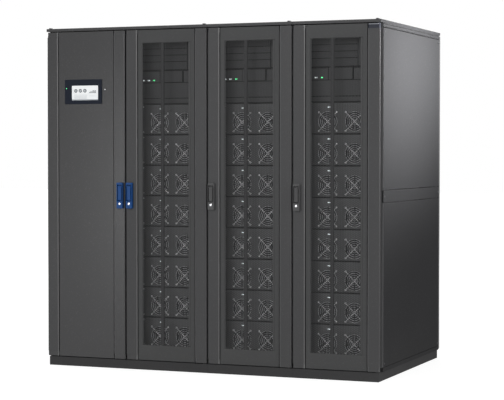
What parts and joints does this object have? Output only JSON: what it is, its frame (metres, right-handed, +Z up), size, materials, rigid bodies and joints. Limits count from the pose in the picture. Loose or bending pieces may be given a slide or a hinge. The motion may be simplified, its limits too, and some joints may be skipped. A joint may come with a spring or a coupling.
{
  "type": "modular ups cabinet",
  "caption": "Row of floor-standing power cabinets bolted side by side, with a touch-screen bay and power-module bays behind perforated swing doors.",
  "frame": {"origin": "on the floor, under the centre of the box that holds the row with its door handles", "axes": "+X along the row to the right as seen from the front, +Y from the doors into the cabinets, +Z up"},
  "size_m": [2.08, 1.218, 2.005],
  "materials": {
    "case": "satin powder coat",
    "door": "satin powder coat",
    "perforated": "satin powder coat on perforated sheet",
    "plinth": "satin powder coat",
    "frame": "satin powder coat",
    "rack": "satin",
    "module": "fine-textured satin",
    "guard": "bright wire",
    "pins": "satin",
    "bezel": "gloss",
    "screen": "lit display glass",
    "handle_blue": "satin moulded plastic",
    "handle_black": "satin moulded plastic"
  },
  "bodies": {
    "cabinet": {"plinth_frames": "plinth", "base_frames": "frame", "corner_posts": "frame", "top_frames": "frame", "hinge_pins": "pins", "left_side_panels": "case", "right_side_panels": "case", "side_rails": "case", "module_racks": "rack", "wiring_cover": "rack", "roof_cover_1": "case", "rear_panel_1": "case", "roof_cover_2": "case", "rear_panel_2": "case", "roof_cover_3": "case", "rear_panel_3": "case", "roof_cover_4": "case", "rear_panel_4": "case", "power_modules_2": "module", "fan_guards_2": "guard", "control_unit_2": "module", "power_modules_3": "module", "fan_guards_3": "guard", "control_unit_3": "module", "power_modules_4": "module", "fan_guards_4": "guard", "control_unit_4": "module"},
    "door_1": {"door_profiles_1": "door", "door_panel_1": "door", "handle_housing_1": "handle_blue", "touch_screen_bezel": "bezel", "touch_screen": "screen"},
    "lever_1": {"handle_lever_1": "handle_blue"},
    "door_2": {"door_profiles_2": "door", "door_panel_2": "perforated", "handle_housing_2": "handle_blue"},
    "lever_2": {"handle_lever_2": "handle_blue"},
    "door_3": {"door_profiles_3": "door", "door_panel_3": "perforated", "handle_housing_3": "handle_black"},
    "lever_3": {"handle_lever_3": "handle_black"},
    "door_4": {"door_profiles_4": "door", "door_panel_4": "perforated", "handle_housing_4": "handle_black"},
    "lever_4": {"handle_lever_4": "handle_black"}
  },
  "joints": [
    {"name": "door_swing_1", "type": "hinge", "parent": "cabinet", "child": "door_1", "pos_m": [-1.018, -0.577, 1.0175], "axis": [0, 0, -1], "range_deg": [0, 95]},
    {"name": "lever_lift_1", "type": "hinge", "parent": "door_1", "child": "lever_1", "pos_m": [-0.55, -0.604, 1.0685], "axis": [-1, 0, 0], "range_deg": [0, 35]},
    {"name": "door_swing_2", "type": "hinge", "parent": "cabinet", "child": "door_2", "pos_m": [-0.022, -0.577, 1.0175], "axis": [0, 0, 1], "range_deg": [0, 95]},
    {"name": "lever_lift_2", "type": "hinge", "parent": "door_2", "child": "lever_2", "pos_m": [-0.49, -0.604, 1.0685], "axis": [-1, 0, 0], "range_deg": [0, 35]},
    {"name": "door_swing_3", "type": "hinge", "parent": "cabinet", "child": "door_3", "pos_m": [0.498, -0.577, 1.0175], "axis": [0, 0, 1], "range_deg": [0, 95]},
    {"name": "lever_lift_3", "type": "hinge", "parent": "door_3", "child": "lever_3", "pos_m": [0.03, -0.604, 1.0685], "axis": [-1, 0, 0], "range_deg": [0, 35]},
    {"name": "door_swing_4", "type": "hinge", "parent": "cabinet", "child": "door_4", "pos_m": [1.018, -0.577, 1.0175], "axis": [0, 0, 1], "range_deg": [0, 95]},
    {"name": "lever_lift_4", "type": "hinge", "parent": "door_4", "child": "lever_4", "pos_m": [0.55, -0.604, 1.0685], "axis": [-1, 0, 0], "range_deg": [0, 35]}
  ]
}
